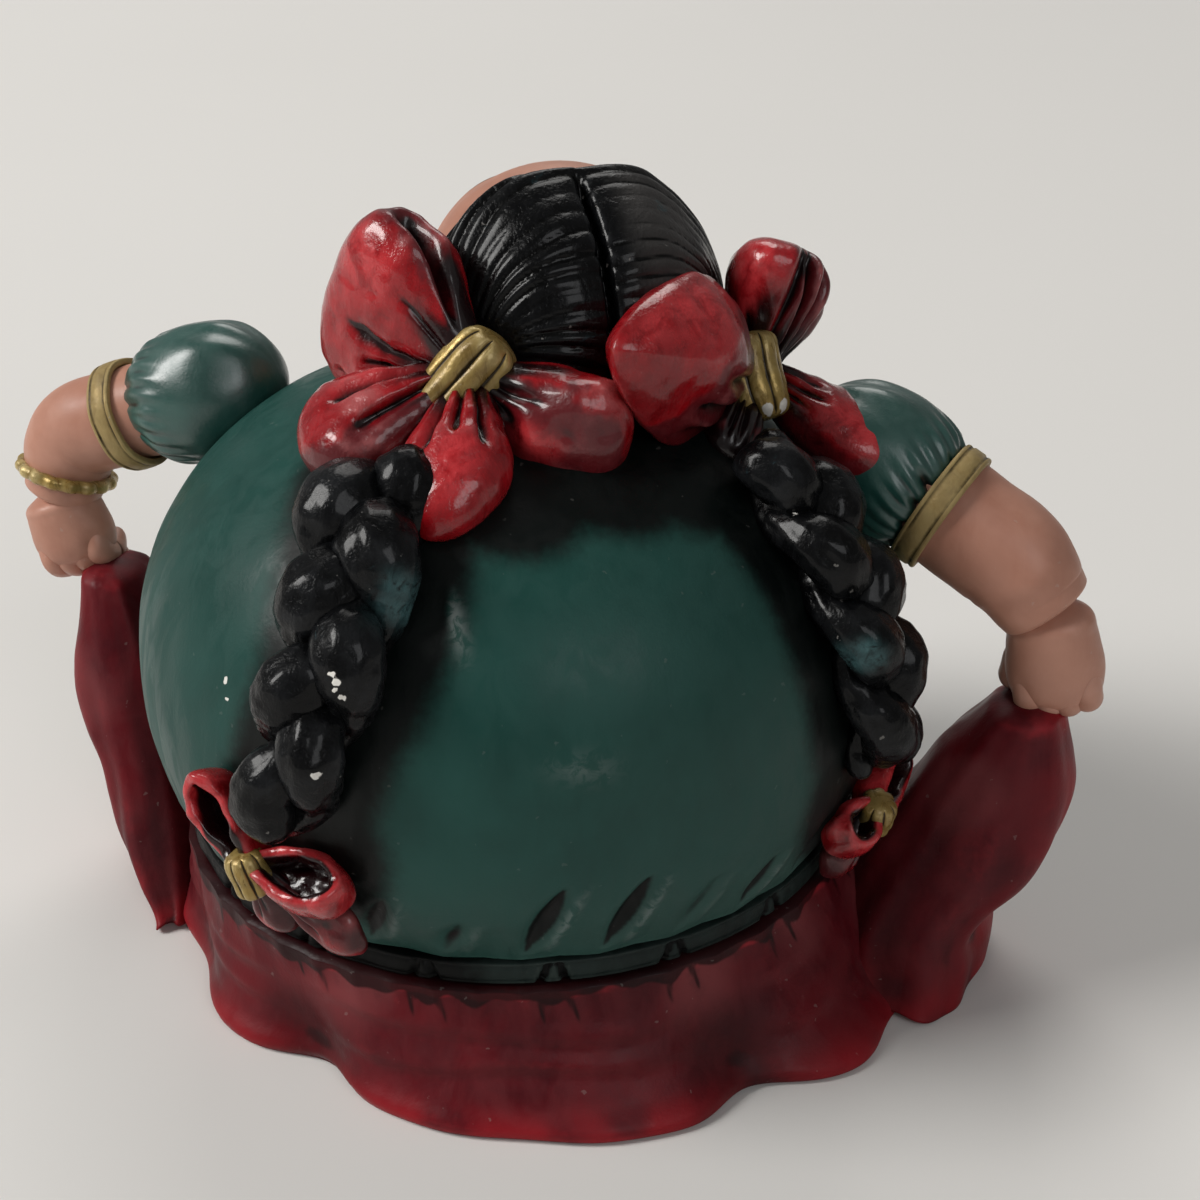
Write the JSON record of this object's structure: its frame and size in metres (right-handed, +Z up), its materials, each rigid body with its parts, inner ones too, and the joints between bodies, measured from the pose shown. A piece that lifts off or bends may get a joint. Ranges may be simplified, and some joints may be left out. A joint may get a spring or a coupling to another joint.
{
  "type": "souvenir figurine",
  "caption": "Plump folk dancer figurine in painted resin: round blouse, lifted ruffled skirt, thrown-back head, braids and ribbon bows; stands on a felt base.",
  "frame": {"origin": "centre of the flat underside of the felt pad, on the table", "axes": "+Z up, -Y the way the figure's body faces, +X to the figure's left"},
  "size_m": [0.1197, 0.0841, 0.0836],
  "materials": {
    "blouse_green": "satin hand-brushed green paint on cast resin, black wash in the creases",
    "skirt_red": "satin dark red paint on cast resin, darker in the folds",
    "band_dark": "dark grey-green paint with black wash",
    "felt_green": "thin pressed felt",
    "hair_black": "semi-gloss black paint with small white chips",
    "skin_flesh": "matt flesh paint, warmer in the creases",
    "trim_gold": "dull antique gold paint, rubbed",
    "ribbon_red": "glossy bright red paint with pale rubbed ridges"
  },
  "bodies": {
    "root": {"blouse": "blouse_green", "sleeve_left": "blouse_green", "sleeve_right": "blouse_green", "skirt": "skirt_red", "skirt_side_left": "skirt_red", "skirt_side_right": "skirt_red", "waistband": "band_dark", "felt_pad": "felt_green", "hair": "hair_black", "braid_left": "hair_black", "braid_right": "hair_black", "head": "skin_flesh", "arm_left": "skin_flesh", "arm_right": "skin_flesh", "hand_left": "skin_flesh", "hand_right": "skin_flesh", "neck_trim": "trim_gold", "cuff_left": "trim_gold", "cuff_right": "trim_gold", "bracelet_left": "trim_gold", "bow_left_knot": "trim_gold", "bow_right_knot": "trim_gold", "tie_left_knot": "trim_gold", "tie_right_knot": "trim_gold", "bow_left_loop_outer": "ribbon_red", "bow_left_loop_inner": "ribbon_red", "bow_left_tail_outer": "ribbon_red", "bow_left_tail_inner": "ribbon_red", "bow_right_loop_outer": "ribbon_red", "bow_right_loop_inner": "ribbon_red", "bow_right_tail_outer": "ribbon_red", "bow_right_tail_inner": "ribbon_red", "tie_left_loop_outer": "ribbon_red", "tie_left_loop_inner": "ribbon_red", "tie_left_tail_outer": "ribbon_red", "tie_left_tail_inner": "ribbon_red", "tie_right_loop_outer": "ribbon_red", "tie_right_loop_inner": "ribbon_red", "tie_right_tail_outer": "ribbon_red", "tie_right_tail_inner": "ribbon_red"}
  },
  "joints": []
}
